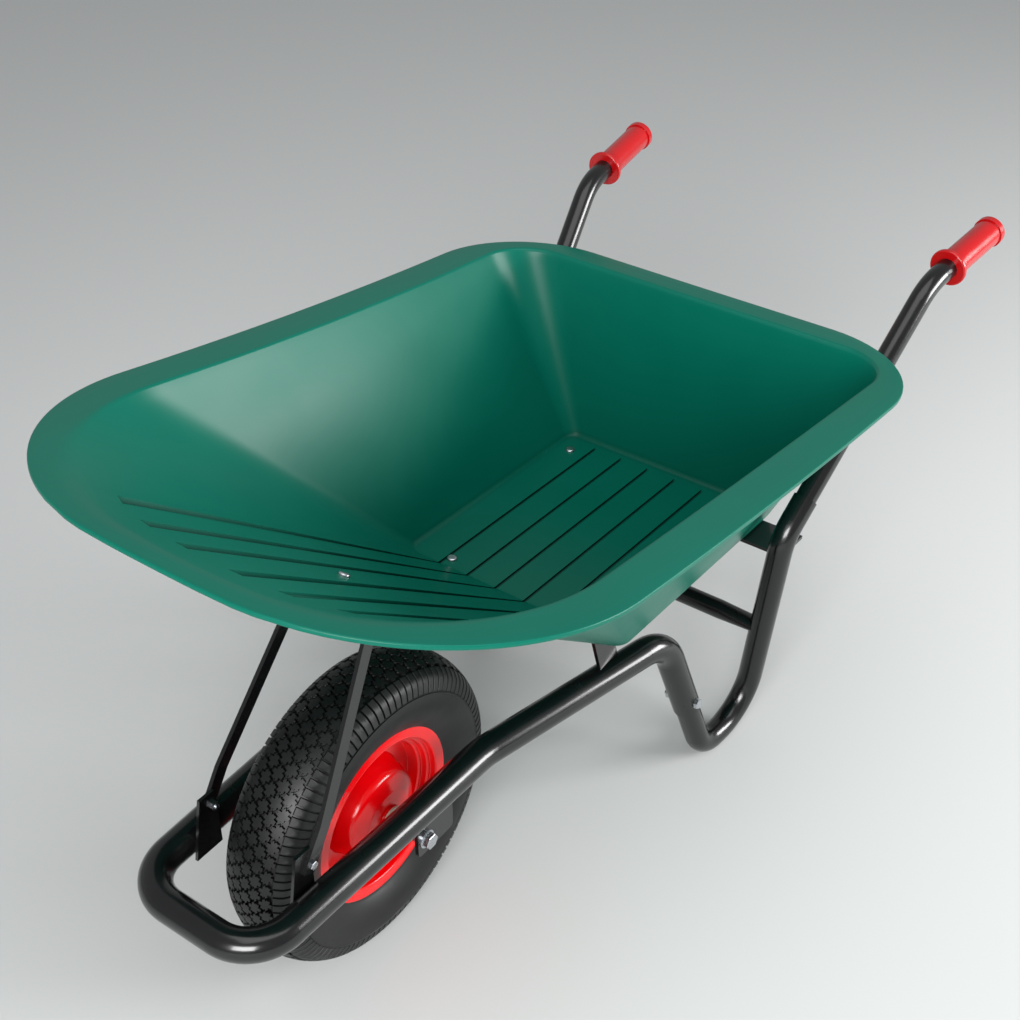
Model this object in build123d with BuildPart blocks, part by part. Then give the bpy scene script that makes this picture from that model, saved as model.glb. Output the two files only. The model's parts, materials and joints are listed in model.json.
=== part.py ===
import os
from math import cos, radians, sin, sqrt

from build123d import *

# A single-wheel wheelbarrow, in millimetres. +X points forward to the wheel, +Y to the left, +Z up.
# The origin is on the ground, under the middle of the overall length.
# Places along the barrow are measured forward from the wheel's axle, so most are negative.

# Wheel: a pneumatic tyre on a pressed rim of two halves
tyre_od = 400
tyre_width = 102
tyre_aspect = 0.97
tyre_crown = 11
tyre_side_wall = 6.5
tyre_shoulder_in = 6
tyre_shoulder_drop = 16
bead_width = 11
tube_side_gap = 2.5
tube_wall = 3
tube_clearance = 0.3
rim_sheet = 2
rim_flange_height = 14
rim_in = 16
ledge_step = 6
ledge_depth = 9
disc_height = 22
dome_lean = 10
dome_rise = 33
dome_cap = 20
dome_cap_rise = 8
hub_collar_rise = 1.5
press_radius = 2
dome_radius = 11
seat_clearance = 0.1

# Hub, axle and valve
axle_d = 12
hub_od = 34
hub_wall = 4
hub_past_dome = 4.5
bush_length = 22
bush_flange = 2
running_clearance = 0.05
wheel_end_play = 0.3
spacer_od = 20
axle_head_flats = 18
axle_head_height = 8
axle_nut_height = 10
axle_washer_od = 24
axle_washer = 2.5
axle_thread_past = 3
valve_angle = 50
valve_d = 8
valve_tip_gap = 4
valve_cap_length = 10
valve_cap_wall = 1.2

# Frame tubes: the leg slides into the front tube, and the handle slides into the leg
rail_od = 39
rail_wall = 2.25
leg_wall = 2
handle_wall = 2
slip = 0.25

# Front tube, by its corners: nose, kink behind the wheel, top of the front leg
nose_fore = 273
nose_in = 11
nose_rise = 2
nose_bend = 55
kink_back = 112
wheel_room = 29.5
rail_above_axle = 50
kink_bend = 120
rail_run = 304
leg_spread = 70
leg_top_bend = 54
sleeve_length = 148

# Leg, by its corners: front of the foot, back of the foot, knee below the handle
foot_spread = 33
foot_front_bend = 38
foot_length = 108
foot_splay = 8
foot_rear_bend = 72
rear_leg_lean = 15.5
knee_inside_rim = 68.8
knee_above_rail = 76.6
knee_bend = 60
leg_lap = 68
leg_past_knee = 60
handle_above_knee = 24

# Handle and grip
handle_run = 278.5
handle_spread = 40.3
handle_rise = 273.4
handle_bend = 75
grip_run = 172
grip_spread = 16
grip_rise = 17
grip_length = 124
grip_d = 39
grip_flange_d = 53
grip_flange = 7
grip_groove = 3
grip_collar = 6
grip_collar_d = 43.5
grip_bead_d = 43
grip_bead = 11
grip_end_wall = 4
grip_round = 2.4

# Joint bolt of each leg, across both tubes
leg_bolt_d = 8
leg_bolt_flats = 13
leg_bolt_head = 5.5
leg_nut_height = 6.5
leg_bolt_above_end = 17
leg_bolt_past = 3
bolt_clearance = 0.25
hex_chamfer = 0.6

# Cross tube between the rear legs, pinched flat at its ends
cross_below_rail = 82
cross_d = 28
cross_wall = 2
cross_pinch = 15
cross_pinch_width = 30
cross_pinch_length = 66

# Axle brackets, welded under the rails
bracket_sheet = 5
axle_bracket_front = 14
axle_bracket_rear = 52
axle_bracket_below = 23
axle_bracket_corner = 6

# Brace under the tub's front slope, with its feet on brackets inside the rails
brace_foot_back = 101
brace_foot_above_nose = 33
brace_run = 174
brace_top_half = 48
brace_width = 17
brace_sheet = 5
brace_bend = 9
brace_trim = 1.2
brace_seat = 3
brace_bracket_sheet = 4
brace_bracket_front = 12
brace_bracket_back = 12
brace_bracket_top = 30
brace_bracket_toe = 28
brace_bracket_weld = 1
brace_bolt_d = 6
brace_bolt_flats = 10
brace_bolt_head = 4
brace_nut_height = 5
brace_bolt_up = 12
brace_bolt_past = 2

# Tub
floor_before_leg = 110
floor_above_rail = 67.9
floor_tilt = 3.82
floor_length = 395
floor_past_knee = 89.5
floor_half = 168.5
floor_corner = 20
tub_wall = 4
rim_behind_floor = 435.4
rim_above_floor = 240.1
rim_tilt = 9.43
rim_length = 981
rim_half_rear = 302.5
rim_widening = 6.1
rim_nose_recede = 51
rim_corner = 74
rim_shoulder = 246
rim_sag = 14.8
flange_rear = 41
flange_front = 21
flange_side = 44
flange_nose_recede = 21
flange_corner_more = 82
flange_shoulder_more = 36
lip_height = 5.5
rim_round = 8
lip_round = 1.8
floor_round = 8
wall_overrun = 2
groove_count = 6
groove_pitch = 45.8
groove_width = 4
groove_depth = 1.4
groove_rear_gap = 14
slope_groove_gap = 45
slope_groove_pitch = 60
slope_groove_width = 7

# Bearers that carry the tub, and the bolts through it
front_bearer_behind_edge = 18
front_bearer_width = 40
front_bearer_lean = 20
front_bearer_bend = 8
rear_bearer_behind_knee = 36
rear_bearer_width = 60
bearer_sheet = 5
front_bolt_in = 21.5
rear_bolt_in = 26.3
rear_bolt_behind = 10.3
tub_bolt_d = 6
tub_bolt_head_d = 15
tub_bolt_head = 3.2
tub_bolt_round = 2.9
tub_bolt_past = 2
tub_washer_od = 16
tub_washer = 1.6
tub_nut_flats = 10
tub_nut_height = 5

# Sizes that follow
leg_od = rail_od - 2 * rail_wall - 2 * slip
handle_od = leg_od - 2 * leg_wall - 2 * slip

# Heights above the ground
axle_up = tyre_od / 2
rail_up = axle_up + rail_above_axle
nose_up = rail_up + nose_rise
foot_up = leg_od / 2
knee_up = rail_up + knee_above_rail
cross_up = rail_up - cross_below_rail
handle_bend_up = knee_up + handle_rise
grip_end_up = handle_bend_up + grip_rise
brace_foot_up = nose_up + brace_foot_above_nose
floor_front_up = rail_up + floor_above_rail
rim_rear_up = floor_front_up + rim_above_floor

# Distances from the middle
kink_half = tyre_width / 2 + wheel_room + rail_od / 2
nose_half = kink_half - nose_in
leg_top_half = kink_half + leg_spread
foot_front_half = leg_top_half + foot_spread
foot_rear_half = foot_front_half + foot_splay
knee_half = rim_half_rear - knee_inside_rim
handle_bend_half = knee_half + handle_spread
grip_end_half = handle_bend_half + grip_spread

# Places along the barrow
kink_fore = -kink_back
leg_top_fore = kink_fore - rail_run
floor_front_fore = leg_top_fore + floor_before_leg
knee_fore = floor_front_fore - floor_length + floor_past_knee
foot_rear_fore = knee_fore + rear_leg_lean
foot_front_fore = foot_rear_fore + foot_length
handle_bend_fore = knee_fore - handle_run
grip_end_fore = handle_bend_fore - grip_run
brace_foot_fore = nose_fore - brace_foot_back
brace_top_fore = brace_foot_fore - brace_run
rim_rear_fore = floor_front_fore - rim_behind_floor

# The overall length runs from the nose bar to the rims of the grips' ends
grip_line = Vector(-grip_run, grip_spread, grip_rise).normalized()
grip_lean = sqrt(1 - grip_line.X**2)
grip_past = grip_round * (1 + grip_line.X) + (grip_bead_d / 2 - grip_round) * grip_lean
axle_x = (grip_past - grip_end_fore - nose_fore - rail_od / 2) / 2
parts = {}


def at(fore, half, up):
    return Vector(axle_x + fore, half, up)


def along(start, end, distance):
    return start + (end - start).normalized() * distance


def tube_path(points, radii):
    with BuildLine() as path:
        FilletPolyline(*points, radius=radii)
    return path.wire()


def disc(path, diameter):
    with BuildSketch(Plane(origin=path @ 0, z_dir=path % 0)) as face:
        Circle(diameter / 2)
    return face.sketch


def ring(path, diameter, wall):
    with BuildSketch(Plane(origin=path @ 0, z_dir=path % 0)) as face:
        Circle(diameter / 2)
        Circle(diameter / 2 - wall, mode=Mode.SUBTRACT)
    return face.sketch


def hexagon(plane, flats):
    with BuildSketch(plane) as face:
        RegularPolygon(flats / 2, 6, major_radius=False)
    return face.sketch


def circle_face(plane, diameter):
    with BuildSketch(plane) as face:
        Circle(diameter / 2)
    return face.sketch


def hex_bolt(seat, diameter, flats, head, reach):
    # A bolt whose head stands on the seat plane's outer side and whose shank goes the other way.
    with BuildPart() as bolt:
        extrude(hexagon(seat, flats), amount=head)
        chamfer(bolt.faces().sort_by(Axis(seat.origin, seat.z_dir))[-1].edges(), length=hex_chamfer)
        extrude(circle_face(seat, diameter), amount=-reach)
    return bolt.part


def hex_nut(seat, bore, flats, height):
    # A nut that stands on the outer side of its seat plane.
    with BuildPart() as nut:
        extrude(hexagon(seat, flats), amount=height)
        extrude(circle_face(seat, bore), amount=height, mode=Mode.SUBTRACT)
    return nut.part


def keep(name, part):
    part.label = name
    parts[name] = part


def keep_pair(name, left):
    keep("left_" + name, left)
    keep("right_" + name, left.mirror(Plane.XZ))


# Paths of the tubes, on the left side
nose_corner = at(nose_fore, nose_half, nose_up)
kink = at(kink_fore, kink_half, rail_up)
leg_top = at(leg_top_fore, leg_top_half, rail_up)
foot_front = at(foot_front_fore, foot_front_half, foot_up)
foot_rear = at(foot_rear_fore, foot_rear_half, foot_up)
knee = at(knee_fore, knee_half, knee_up)
handle_corner = at(handle_bend_fore, handle_bend_half, handle_bend_up)
grip_end = at(grip_end_fore, grip_end_half, grip_end_up)
sleeve_end = along(leg_top, foot_front, sleeve_length)
leg_start = along(sleeve_end, leg_top, leg_lap)
leg_end = along(knee, handle_corner, leg_past_knee)
handle_start = along(knee, handle_corner, handle_above_knee)
handle_end = along(grip_end, handle_corner, grip_end_wall)


def other_side(point):
    return Vector(point.X, -point.Y, point.Z)


left_rail = [sleeve_end, leg_top, kink, nose_corner]
rail_bends = [leg_top_bend, kink_bend, nose_bend]
rail_path = tube_path(
    left_rail + [other_side(point) for point in reversed(left_rail)],
    rail_bends + list(reversed(rail_bends)),
)
leg_path = tube_path(
    [leg_start, foot_front, foot_rear, knee, leg_end],
    [foot_front_bend, foot_rear_bend, knee_bend],
)
handle_path = tube_path([handle_start, handle_corner, handle_end], [handle_bend])


def rail_half_at(fore):
    # How far the rail's centre line stands from the middle, in front of the kink or behind it.
    if fore > kink_fore:
        return kink_half - nose_in * (fore - kink_fore) / (nose_fore - kink_fore)
    return kink_half + leg_spread * (kink_fore - fore) / rail_run


# Solid bars in the tubes' outer shape, for trimming what is welded to them
with BuildPart() as rail_bar:
    sweep(disc(rail_path, rail_od), path=rail_path)
with BuildPart() as leg_bars:
    sweep(disc(leg_path, leg_od), path=leg_path)
    mirror(about=Plane.XZ)

# The leg's joint bolt stands square to both tubes
leg_joint = along(sleeve_end, leg_top, leg_bolt_above_end)
leg_line = (foot_front - leg_top).normalized()
leg_bolt_line = (Vector(0, 1, 0) - leg_line * leg_line.Y).normalized()
leg_bolt_seat = Plane(origin=leg_joint + leg_bolt_line * (rail_od / 2), z_dir=leg_bolt_line)
leg_nut_seat = Plane(origin=leg_joint - leg_bolt_line * (rail_od / 2), z_dir=-leg_bolt_line)
leg_bolt_reach = rail_od + leg_nut_height + leg_bolt_past
leg_bolt_hole = circle_face(leg_bolt_seat, leg_bolt_d + 2 * bolt_clearance)

with BuildPart() as front_frame_tube:
    sweep(ring(rail_path, rail_od, rail_wall), path=rail_path)
    extrude(leg_bolt_hole, amount=rail_od, both=True, mode=Mode.SUBTRACT)
    extrude(leg_bolt_hole.mirror(Plane.XZ), amount=rail_od, both=True, mode=Mode.SUBTRACT)
keep("front_frame_tube", front_frame_tube.part)

with BuildPart() as leg_tube:
    sweep(ring(leg_path, leg_od, leg_wall), path=leg_path)
    extrude(leg_bolt_hole, amount=rail_od, both=True, mode=Mode.SUBTRACT)
keep_pair("leg_tube", leg_tube.part)

with BuildPart() as handle_tube:
    sweep(ring(handle_path, handle_od, handle_wall), path=handle_path)
keep_pair("handle_tube", handle_tube.part)

with BuildPart() as leg_joint_bolts:
    add(hex_bolt(leg_bolt_seat, leg_bolt_d, leg_bolt_flats, leg_bolt_head, leg_bolt_reach))
    mirror(about=Plane.XZ)
keep("leg_joint_bolts", leg_joint_bolts.part)

with BuildPart() as leg_joint_nuts:
    add(hex_nut(leg_nut_seat, leg_bolt_d, leg_bolt_flats, leg_nut_height))
    mirror(about=Plane.XZ)
keep("leg_joint_nuts", leg_joint_nuts.part)

# Cross tube: round in the middle, pinched towards the legs that it is welded to
rear_leg_share = (cross_up - foot_up) / (knee_up - foot_up)
cross_end = foot_rear + (knee - foot_rear) * rear_leg_share
cross_round_half = cross_end.Y - cross_pinch_length


def cross_section(side):
    with BuildSketch(Plane(origin=(cross_end.X, side, cross_up), x_dir=(1, 0, 0), z_dir=(0, 1, 0))) as face:
        if abs(side) > cross_round_half:
            Ellipse(cross_pinch_width / 2, cross_pinch / 2)
        else:
            Circle(cross_d / 2)
    return face.sketch


with BuildPart() as rear_cross_tube:
    cross_sides = (-cross_end.Y, -cross_round_half, cross_round_half, cross_end.Y)
    loft([cross_section(side) for side in cross_sides], ruled=True)
    cross_bore = offset(cross_section(0), -cross_wall)
    extrude(cross_bore, amount=cross_round_half - cross_wall, both=True, mode=Mode.SUBTRACT)
    add(leg_bars.part, mode=Mode.SUBTRACT)
keep("rear_cross_tube", rear_cross_tube.part)

# Grip: a moulded sleeve on the handle's end, with a hand guard in front
grip_front = grip_end - grip_line * grip_length
grip_plane = Plane(
    origin=grip_front, x_dir=grip_line, z_dir=grip_line.cross(Vector(0, 0, 1)).normalized()
)
grip_bore_r = handle_od / 2 + seat_clearance
collar_from = grip_flange + grip_groove
collar_to = collar_from + grip_collar
bead_from = grip_length - grip_bead
with BuildPart() as grip:
    with BuildSketch(grip_plane):
        with BuildLine():
            Polyline(
                (0, grip_bore_r),
                (0, grip_flange_d / 2),
                (grip_flange, grip_flange_d / 2),
                (grip_flange, grip_d / 2),
                (collar_from, grip_d / 2),
                (collar_from, grip_collar_d / 2),
                (collar_to, grip_collar_d / 2),
                (collar_to, grip_d / 2),
                (bead_from, grip_d / 2),
                (bead_from, grip_bead_d / 2),
                (grip_length, grip_bead_d / 2),
                (grip_length, 0),
                (grip_length - grip_end_wall, 0),
                (grip_length - grip_end_wall, grip_bore_r),
                close=True,
            )
        make_face()
    revolve(axis=Axis(grip_front, grip_line))
    fillet(grip.edges().filter_by(GeomType.CIRCLE).sort_by(SortBy.RADIUS)[-2:], grip_round)
    fillet(
        grip.faces().sort_by(Axis(grip_front, grip_line))[-1].outer_wire().edges(), grip_round
    )
keep_pair("grip", grip.part)

# Axle brackets: plates in line with the rails, trimmed to them from below
bracket_half = rail_half_at(0)


def upright_plane(half):
    # A plane across the barrow: local x runs forward from the axle, local y runs up from the ground.
    return Plane(origin=(axle_x, half, 0), x_dir=(1, 0, 0), z_dir=(0, -1, 0))


with BuildPart() as axle_bracket:
    with BuildSketch(upright_plane(bracket_half)):
        with BuildLine():
            Polyline(
                (axle_bracket_front, rail_up),
                (axle_bracket_front, axle_up - axle_bracket_below),
                (-axle_bracket_rear, axle_up - axle_bracket_below),
                (-axle_bracket_rear, rail_up),
                close=True,
            )
        face = make_face()
        fillet(face.vertices().group_by(Axis.Y)[0], axle_bracket_corner)
        with Locations((0, axle_up)):
            Circle(axle_d / 2 + running_clearance, mode=Mode.SUBTRACT)
    extrude(amount=bracket_sheet / 2, both=True)
    add(rail_bar.part, mode=Mode.SUBTRACT)
keep_pair("axle_bracket", axle_bracket.part)

# Axle: a long bolt through brackets, spacers and bushes
axle_centre = Vector(axle_x, 0, axle_up)


def axle_plane(side):
    return Plane(origin=axle_centre + Vector(0, side, 0), x_dir=(1, 0, 0), z_dir=(0, 1, 0))


bracket_outer = bracket_half + bracket_sheet / 2
head_seat = bracket_outer + axle_washer
disc_side = rim_sheet / 2
dome_side = disc_side + dome_rise
collar_side = dome_side + dome_cap_rise + hub_collar_rise
hub_end = collar_side + hub_past_dome
bush_end = hub_end + bush_flange
with BuildPart() as axle_bolt:
    add(
        hex_bolt(
            axle_plane(head_seat),
            axle_d,
            axle_head_flats,
            axle_head_height,
            2 * head_seat + axle_nut_height + axle_thread_past,
        )
    )
keep("axle_bolt", axle_bolt.part)

with BuildPart() as axle_nut:
    nut_seat = Plane(origin=axle_plane(-head_seat).origin, x_dir=(1, 0, 0), z_dir=(0, -1, 0))
    add(hex_nut(nut_seat, axle_d, axle_head_flats, axle_nut_height))
keep("axle_nut", axle_nut.part)

with BuildPart() as axle_washers:
    with BuildSketch(axle_plane(bracket_outer)):
        Circle(axle_washer_od / 2)
        Circle(axle_d / 2 + running_clearance, mode=Mode.SUBTRACT)
    extrude(amount=axle_washer)
    mirror(about=Plane.XZ)
keep("axle_washers", axle_washers.part)

with BuildPart() as axle_spacers:
    spacer_from = bush_end + wheel_end_play
    with BuildSketch(axle_plane(spacer_from)):
        Circle(spacer_od / 2)
        Circle(axle_d / 2 + running_clearance, mode=Mode.SUBTRACT)
    extrude(amount=bracket_half - bracket_sheet / 2 - spacer_from)
    mirror(about=Plane.XZ)
keep("axle_spacers", axle_spacers.part)

# Wheel profiles: local x is the radius, local y runs along the axle to the left
wheel_plane = Plane(origin=axle_centre, x_dir=(0, 0, 1), z_dir=(-1, 0, 0))
wheel_axis = Axis(axle_centre, (0, 1, 0))
tyre_r = tyre_od / 2
bead_seat_r = tyre_r - tyre_aspect * tyre_width
bead_seat_side = tyre_width / 2 - rim_in
seat_r = bead_seat_r - rim_sheet / 2
flange_r = bead_seat_r + rim_flange_height
flange_face = bead_seat_side + rim_sheet / 2
outer_ledge = flange_face - ledge_depth
inner_ledge = outer_ledge - ledge_depth
well_r = seat_r - 2 * ledge_step
disc_inner_r = well_r - disc_height
dome_r = disc_inner_r - dome_lean
hub_r = hub_od / 2
valve_side = (disc_side + inner_ledge) / 2
valve_line = Vector(cos(radians(valve_angle)), 0, sin(radians(valve_angle)))
valve_base = axle_centre + Vector(0, valve_side, 0)


def valve_plane(radius):
    return Plane(origin=valve_base + valve_line * radius, z_dir=valve_line)


with BuildPart() as rim_half:
    with BuildSketch(wheel_plane):
        with BuildLine() as rim_line:
            FilletPolyline(
                (flange_r, flange_face),
                (seat_r, flange_face),
                (seat_r, outer_ledge),
                (seat_r - ledge_step, outer_ledge),
                (seat_r - ledge_step, inner_ledge),
                (well_r, inner_ledge),
                (well_r, disc_side),
                (disc_inner_r, disc_side),
                (dome_r, dome_side),
                (dome_r - dome_cap, dome_side + dome_cap_rise),
                (hub_r + 2 * seat_clearance, collar_side),
                radius=[press_radius] * 7 + [dome_radius] * 2,
            )
        trace(rim_line.line, line_width=rim_sheet)
    revolve(axis=wheel_axis)
    extrude(
        circle_face(valve_plane(hub_od), valve_d + 2 * bolt_clearance),
        amount=bead_seat_r,
        mode=Mode.SUBTRACT,
    )
keep("left_rim_half", rim_half.part)

with BuildPart() as plain_rim_half:
    with BuildSketch(wheel_plane):
        trace(rim_line.line, line_width=rim_sheet)
    revolve(axis=wheel_axis)
    mirror(about=Plane.XZ, mode=Mode.REPLACE)
keep("right_rim_half", plain_rim_half.part)

# Tyre: it seats on the outer ledges, inside the flanges
bead_r = bead_seat_r + seat_clearance
bead_side = bead_seat_side - seat_clearance
lip_r = flange_r + seat_clearance
lip_side = flange_face + rim_sheet / 2 + seat_clearance
shoulder_r = tyre_r - tyre_shoulder_drop
shoulder_side = tyre_width / 2 - tyre_shoulder_in
widest_r = (lip_r + shoulder_r) / 2
toe_side = bead_side - bead_width
inside_r = tyre_r - tyre_crown
inside_shoulder_r = shoulder_r - tyre_side_wall
inside_shoulder_side = shoulder_side - tyre_side_wall
inside_lip_side = lip_side - tyre_side_wall
with BuildPart() as tyre:
    with BuildSketch(wheel_plane):
        with BuildLine():
            Polyline(
                (bead_r, toe_side),
                (bead_r, bead_side - press_radius),
                (bead_r + press_radius, bead_side),
                (lip_r, bead_side),
                (lip_r, lip_side),
            )
            ThreePointArc(
                (lip_r, lip_side), (widest_r, tyre_width / 2), (shoulder_r, shoulder_side)
            )
            ThreePointArc((shoulder_r, shoulder_side), (tyre_r, 0), (shoulder_r, -shoulder_side))
            ThreePointArc(
                (shoulder_r, -shoulder_side), (widest_r, -tyre_width / 2), (lip_r, -lip_side)
            )
            Polyline(
                (lip_r, -lip_side),
                (lip_r, -bead_side),
                (bead_r + press_radius, -bead_side),
                (bead_r, press_radius - bead_side),
                (bead_r, -toe_side),
            )
            Line((bead_r, -toe_side), (lip_r, -inside_lip_side))
            ThreePointArc(
                (lip_r, -inside_lip_side),
                (widest_r, tyre_side_wall - tyre_width / 2),
                (inside_shoulder_r, -inside_shoulder_side),
            )
            ThreePointArc(
                (inside_shoulder_r, -inside_shoulder_side),
                (inside_r, 0),
                (inside_shoulder_r, inside_shoulder_side),
            )
            ThreePointArc(
                (inside_shoulder_r, inside_shoulder_side),
                (widest_r, tyre_width / 2 - tyre_side_wall),
                (lip_r, inside_lip_side),
            )
            Line((lip_r, inside_lip_side), (bead_r, toe_side))
        make_face()
    revolve(axis=wheel_axis)
keep("tyre", tyre.part)

tube_r = tyre_width / 2 - tyre_side_wall - tube_side_gap
tube_ring_r = inside_r - tube_clearance - tube_r
with BuildPart() as inner_tube:
    with BuildSketch(wheel_plane):
        with Locations((tube_ring_r, 0)):
            Circle(tube_r)
            Circle(tube_r - tube_wall, mode=Mode.SUBTRACT)
    revolve(axis=wheel_axis)
keep("inner_tube", inner_tube.part)

# Valve: from the inner tube, through the well of the left rim half, towards the hub
valve_foot_r = tube_ring_r - sqrt(tube_r**2 - (valve_side + valve_d / 2) ** 2)
valve_tip_r = disc_inner_r + valve_tip_gap
cap_from_r = valve_tip_r + valve_cap_wall
with BuildPart() as tube_shape:
    with BuildSketch(wheel_plane):
        with Locations((tube_ring_r, 0)):
            Circle(tube_r)
    revolve(axis=wheel_axis)
with BuildPart() as valve_stem:
    stem_length = valve_foot_r + tube_wall - cap_from_r
    extrude(circle_face(valve_plane(cap_from_r), valve_d), amount=stem_length)
    add(tube_shape.part, mode=Mode.SUBTRACT)
keep("valve_stem", valve_stem.part)

with BuildPart() as valve_cap:
    cap_d = valve_d + 2 * seat_clearance + 2 * valve_cap_wall
    extrude(circle_face(valve_plane(valve_tip_r), cap_d), amount=valve_cap_length)
    extrude(
        circle_face(valve_plane(cap_from_r), valve_d + 2 * seat_clearance),
        amount=valve_cap_length,
        mode=Mode.SUBTRACT,
    )
keep("valve_cap", valve_cap.part)

with BuildPart() as hub_tube:
    with BuildSketch(axle_plane(0)):
        Circle(hub_r)
        Circle(hub_r - hub_wall, mode=Mode.SUBTRACT)
    extrude(amount=hub_end, both=True)
keep("hub_tube", hub_tube.part)

with BuildPart() as bush:
    with BuildSketch(axle_plane(hub_end)):
        Circle(hub_r)
    extrude(amount=bush_flange)
    with BuildSketch(axle_plane(hub_end)):
        Circle(hub_r - hub_wall)
    extrude(amount=-bush_length)
    with BuildSketch(axle_plane(bush_end)):
        Circle(axle_d / 2 + running_clearance)
    extrude(amount=-bush_length - bush_flange, mode=Mode.SUBTRACT)
keep_pair("bush", bush.part)

# Tub: walls between the floor's outline and the rim's outline
floor_cos = cos(radians(floor_tilt))
floor_sin = sin(radians(floor_tilt))
rim_cos = cos(radians(rim_tilt))
rim_sin = sin(radians(rim_tilt))
floor_origin = at(floor_front_fore, 0, floor_front_up)
rim_origin = at(rim_rear_fore, 0, rim_rear_up)
floor_plane = Plane(
    origin=floor_origin, x_dir=(floor_cos, 0, floor_sin), z_dir=(-floor_sin, 0, floor_cos)
)
rim_plane = Plane(origin=rim_origin, x_dir=(rim_cos, 0, rim_sin), z_dir=(-rim_sin, 0, rim_cos))


def floor_face(plane, grow):
    with BuildSketch(plane) as face:
        with BuildLine():
            Polyline(
                (grow, floor_half + grow),
                (-floor_length - grow, floor_half + grow),
                (-floor_length - grow, -floor_half - grow),
                (grow, -floor_half - grow),
                close=True,
            )
        make_face()
        fillet(face.vertices(), floor_corner + grow)
    return face.sketch


def rim_face(plane, rear, front, half_rear, half_front, recede, corner, shoulder):
    shoulder_x = front - recede
    with BuildSketch(plane) as face:
        with BuildLine():
            Polyline(
                (shoulder_x, half_front),
                (rear, half_rear),
                (rear, -half_rear),
                (shoulder_x, -half_front),
            )
            ThreePointArc((shoulder_x, -half_front), (front, 0), (shoulder_x, half_front))
        make_face()
        fillet(face.vertices().group_by(Axis.X)[0], corner)
        fillet(face.vertices().sort_by(Axis.X)[-2:], shoulder)
    return face.sketch


def tub_rim(grow):
    return rim_face(
        rim_plane.offset(wall_overrun),
        -grow,
        rim_length + grow,
        rim_half_rear + grow,
        rim_half_rear + rim_widening + grow,
        rim_nose_recede,
        rim_corner + grow,
        rim_shoulder + grow,
    )


def tub_flange(inset):
    return rim_face(
        rim_plane.offset(wall_overrun),
        inset - flange_rear,
        rim_length + flange_front - inset,
        rim_half_rear + flange_side - inset,
        rim_half_rear + rim_widening + flange_side - inset,
        flange_nose_recede,
        rim_corner + flange_corner_more - inset,
        rim_shoulder + flange_shoulder_more - inset,
    )


def sag_at(x):
    # The rim dips between its ends: how far it is below the rim plane.
    return rim_sag * ((2 * x / rim_length - 1) ** 2 - 1)


rim_side_plane = Plane(origin=rim_origin, x_dir=(rim_cos, 0, rim_sin), z_dir=(0, -1, 0))


def rim_band(above, below):
    # A band across the whole tub that follows the dip of the rim.
    ends = (-rim_half_rear, rim_length + rim_half_rear)
    middle = rim_length / 2
    with BuildPart() as band:
        with BuildSketch(rim_side_plane):
            with BuildLine():
                corners = []
                for shift in (above, -below):
                    rear_end = (ends[0], sag_at(ends[0]) + shift)
                    front_end = (ends[1], sag_at(ends[1]) + shift)
                    ThreePointArc(rear_end, (middle, sag_at(middle) + shift), front_end)
                    corners.append((rear_end, front_end))
                Line(corners[0][0], corners[1][0])
                Line(corners[0][1], corners[1][1])
            make_face()
        extrude(amount=rim_length, both=True)
    return band.part


with BuildPart() as tub_inside:
    loft([floor_face(floor_plane, 0), tub_rim(0)], ruled=True)
    fillet(tub_inside.faces().filter_by(GeomType.PLANE).sort_by(Axis.Z)[0].edges(), floor_round)
with BuildPart() as tub_outside:
    loft([floor_face(floor_plane.offset(-tub_wall), tub_wall), tub_rim(tub_wall)], ruled=True)
    under_edges = tub_outside.faces().filter_by(GeomType.PLANE).sort_by(Axis.Z)[0].edges()
    fillet(under_edges, floor_round + tub_wall)

# Grooves of one depth, along the floor and up the front slope, where they spread
rim_front = rim_plane.from_local_coords(Vector(rim_length, 0, wall_overrun))
slope = (rim_front - floor_origin).normalized()
slope_groove_length = (rim_front - floor_origin).length - slope_groove_gap
slope_plane = Plane(origin=floor_origin, x_dir=slope, z_dir=(-slope.Z, 0, slope.X))
groove_lines = [index - (groove_count - 1) / 2 for index in range(groove_count)]
with BuildPart() as grooves:
    with BuildSketch(floor_plane):
        groove_run = floor_length - groove_rear_gap
        with Locations([(-groove_run / 2, line * groove_pitch) for line in groove_lines]):
            Rectangle(groove_run, groove_width)
    extrude(amount=tub_wall, both=True)
    with BuildSketch(slope_plane):
        for line in groove_lines:
            low = line * groove_pitch
            high = line * slope_groove_pitch
            with BuildLine():
                Polyline(
                    (0, low - groove_width / 2),
                    (slope_groove_length, high - slope_groove_width / 2),
                    (slope_groove_length, high + slope_groove_width / 2),
                    (0, low + groove_width / 2),
                    close=True,
                )
            make_face()
    extrude(amount=tub_wall, both=True)
    sunk = tub_inside.part.moved(Location((0, 0, -groove_depth)))
    add(sunk, mode=Mode.INTERSECT)

# Bolts through the tub: four in the floor and one in the front slope
front_bearer_foot = rail_half_at(floor_front_fore - front_bearer_behind_edge)
front_bearer_flat = front_bearer_foot - front_bearer_lean
rear_bearer_behind_edge = floor_front_fore - knee_fore + rear_bearer_behind_knee
front_bolt = (-front_bearer_behind_edge, front_bearer_flat - front_bolt_in)
rear_bolt = (-rear_bearer_behind_edge - rear_bolt_behind, floor_half - rear_bolt_in)
floor_bolts = [
    floor_plane.shift_origin(floor_plane.from_local_coords(Vector(x, side, 0)))
    for x, half in (front_bolt, rear_bolt)
    for side in (half, -half)
]
brace_top_x = axle_x + brace_top_fore
slope_bolt_x = (brace_top_x - floor_origin.X) / slope.X
slope_bolt = slope_plane.shift_origin(floor_origin + slope * slope_bolt_x)
bolt_planes = floor_bolts + [slope_bolt]
bolt_hole_d = tub_bolt_d + 2 * bolt_clearance
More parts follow.
